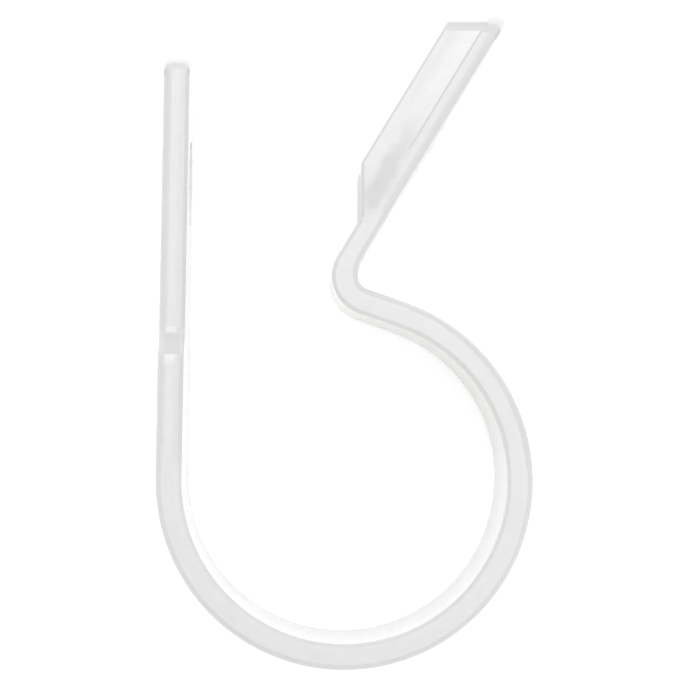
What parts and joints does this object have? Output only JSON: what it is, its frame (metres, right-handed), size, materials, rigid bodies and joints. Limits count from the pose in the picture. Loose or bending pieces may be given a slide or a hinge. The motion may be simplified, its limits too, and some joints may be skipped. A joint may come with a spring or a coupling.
{
  "type": "cable clamp",
  "caption": "Open moulded nylon strap clamp: a round cable loop that runs into a straight flat tab on one side and a hooked, flanged tab on the other, each with a screw hole.",
  "frame": {"origin": "on the axis of the cable loop, at half the strap's width", "axes": "+Z along the loop axis across the strap, up as the clamp lies on its side; +Y from the loop toward the tabs; +X toward the flanged tab"},
  "size_m": [0.019, 0.0329, 0.0094],
  "materials": {
    "nylon": "natural translucent white nylon, smooth moulded satin"
  },
  "bodies": {
    "root": {"cable_clamp": "nylon"}
  },
  "joints": []
}
